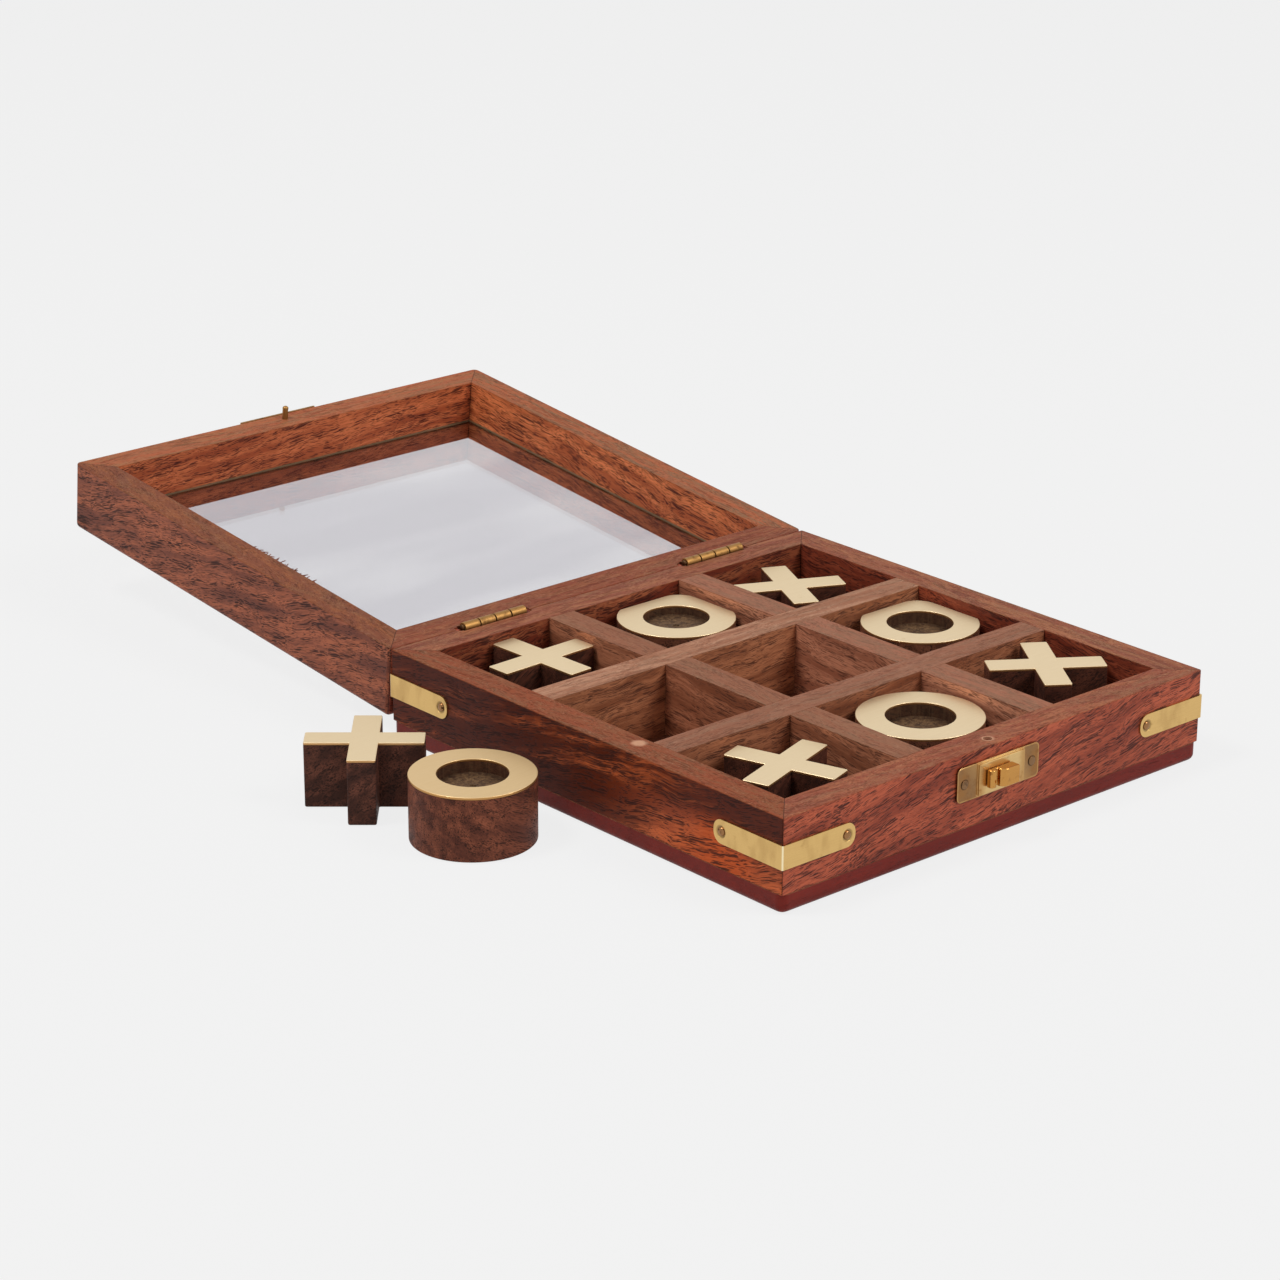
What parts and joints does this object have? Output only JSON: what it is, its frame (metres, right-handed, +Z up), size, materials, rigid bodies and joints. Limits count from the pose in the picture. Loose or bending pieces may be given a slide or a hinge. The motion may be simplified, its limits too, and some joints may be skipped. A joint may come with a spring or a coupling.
{
  "type": "tic-tac-toe box",
  "caption": "Wooden tic-tac-toe box with a hinged glass-topped lid, a sliding brass latch, open cells and brass-faced wooden crosses and rings.",
  "frame": {"origin": "centre of the base board's underside, on the surface that the box stands on", "axes": "+Z up, -Y towards the latch, +Y towards the hinges and the opened lid, +X to the right seen from the latch"},
  "size_m": [0.1994, 0.3098, 0.0451],
  "materials": {
    "frame_wood": "lacquered red-brown hardwood with dark pores",
    "base_wood": "dark lacquered mahogany red",
    "piece_wood": "dark brown oiled hardwood",
    "piece_brass": "pale brushed brass sheet with small stains",
    "brass_fittings": "stamped brass, handled and slightly tarnished",
    "spring_steel": "plain steel",
    "lid_glass": "clear float glass with a green edge"
  },
  "bodies": {
    "box": {"base_board": "base_wood", "front_wall": "frame_wood", "right_wall": "frame_wood", "back_wall": "frame_wood", "left_wall": "frame_wood", "long_divider_front": "frame_wood", "long_divider_back": "frame_wood", "cross_divider_left": "frame_wood", "cross_divider_right": "frame_wood", "strap_front_left": "brass_fittings", "strap_front_right": "brass_fittings", "strap_back_left": "brass_fittings", "strap_back_right": "brass_fittings", "strap_nails": "brass_fittings", "latch_plate": "brass_fittings", "latch_nails": "brass_fittings", "latch_spring": "spring_steel", "hinge_left_box_leaf": "brass_fittings", "hinge_right_box_leaf": "brass_fittings", "hinge_pins": "brass_fittings", "box_hinge_nails": "brass_fittings"},
    "lid": {"lid_front_rail": "frame_wood", "lid_right_rail": "frame_wood", "lid_back_rail": "frame_wood", "lid_left_rail": "frame_wood", "glass_pane": "lid_glass", "hinge_left_lid_leaf": "brass_fittings", "hinge_right_lid_leaf": "brass_fittings", "lid_hinge_nails": "brass_fittings", "striker_plate": "brass_fittings", "striker_pin": "brass_fittings", "striker_nails": "brass_fittings"},
    "latch": {"latch_knob": "brass_fittings", "latch_catch": "spring_steel"},
    "cross_front_left": {"cross_front_left_body": "piece_wood", "cross_front_left_plate": "piece_brass"},
    "cross_front_right": {"cross_front_right_body": "piece_wood", "cross_front_right_plate": "piece_brass"},
    "cross_back_left": {"cross_back_left_body": "piece_wood", "cross_back_left_plate": "piece_brass"},
    "cross_back_right": {"cross_back_right_body": "piece_wood", "cross_back_right_plate": "piece_brass"},
    "cross_loose": {"cross_loose_body": "piece_wood", "cross_loose_plate": "piece_brass"},
    "ring_back": {"ring_back_body": "piece_wood", "ring_back_plate": "piece_brass"},
    "ring_right": {"ring_right_body": "piece_wood", "ring_right_plate": "piece_brass"},
    "ring_front": {"ring_front_body": "piece_wood", "ring_front_plate": "piece_brass"},
    "ring_loose": {"ring_loose_body": "piece_wood", "ring_loose_plate": "piece_brass"}
  },
  "joints": [
    {"name": "lid_hinge", "type": "hinge", "parent": "box", "child": "lid", "pos_m": [0, 0.0761, 0.02565], "axis": [-1, 0, 0], "range_deg": [-174, 0]},
    {"name": "latch_slide", "type": "slide", "parent": "box", "child": "latch", "axis": [1, 0, 0], "range_m": [0, 0.003], "stiffness_N_per_m": 150, "springref_m": -0.004, "deforming": ["latch_spring"]},
    {"name": "cross_front_left_lift", "type": "slide", "parent": "box", "child": "cross_front_left", "axis": [0, 0, 1], "range_m": [0, 0.03]},
    {"name": "cross_front_right_lift", "type": "slide", "parent": "box", "child": "cross_front_right", "axis": [0, 0, 1], "range_m": [0, 0.03]},
    {"name": "cross_back_left_lift", "type": "slide", "parent": "box", "child": "cross_back_left", "axis": [0, 0, 1], "range_m": [0, 0.03]},
    {"name": "cross_back_right_lift", "type": "slide", "parent": "box", "child": "cross_back_right", "axis": [0, 0, 1], "range_m": [0, 0.03]},
    {"name": "cross_loose_lift", "type": "slide", "parent": "box", "child": "cross_loose", "axis": [0, 0, 1], "range_m": [0, 0.03]},
    {"name": "ring_back_lift", "type": "slide", "parent": "box", "child": "ring_back", "axis": [0, 0, 1], "range_m": [0, 0.03]},
    {"name": "ring_right_lift", "type": "slide", "parent": "box", "child": "ring_right", "axis": [0, 0, 1], "range_m": [0, 0.03]},
    {"name": "ring_front_lift", "type": "slide", "parent": "box", "child": "ring_front", "axis": [0, 0, 1], "range_m": [0, 0.03]},
    {"name": "ring_loose_lift", "type": "slide", "parent": "box", "child": "ring_loose", "axis": [0, 0, 1], "range_m": [0, 0.03]}
  ]
}
